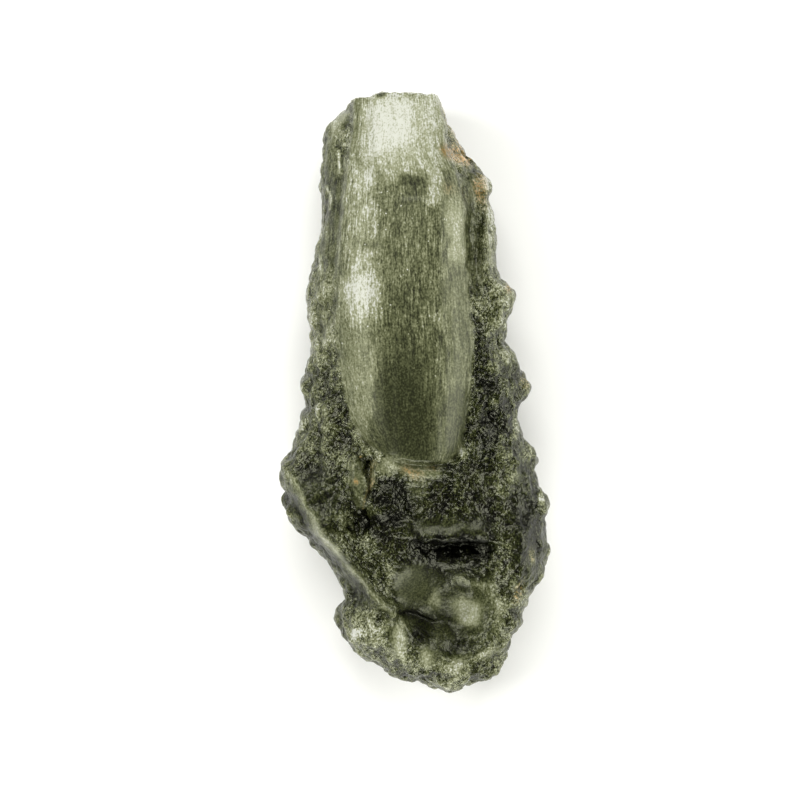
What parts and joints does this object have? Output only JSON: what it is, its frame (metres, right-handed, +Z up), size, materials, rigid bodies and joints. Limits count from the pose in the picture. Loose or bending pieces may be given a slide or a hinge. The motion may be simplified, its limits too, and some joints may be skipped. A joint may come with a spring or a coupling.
{
  "type": "moldavite",
  "caption": "Rough piece of green natural glass, long and tapering, with lumpy etched flanks, a smooth striated barrel-shaped face, a step and a hollow basin; lies on its flattened back.",
  "frame": {"origin": "on the resting face, under the middle of the stone's length and width", "axes": "+Z up, +Y along the length towards the narrow broken end, +X to the right seen from above with that end away from the viewer"},
  "size_m": [0.0188, 0.0419, 0.0099],
  "materials": {
    "moldavite_glass": "satin green glass, etched rough on the flanks and smoother on the striated face"
  },
  "bodies": {
    "root": {"moldavite": "moldavite_glass"}
  },
  "joints": []
}
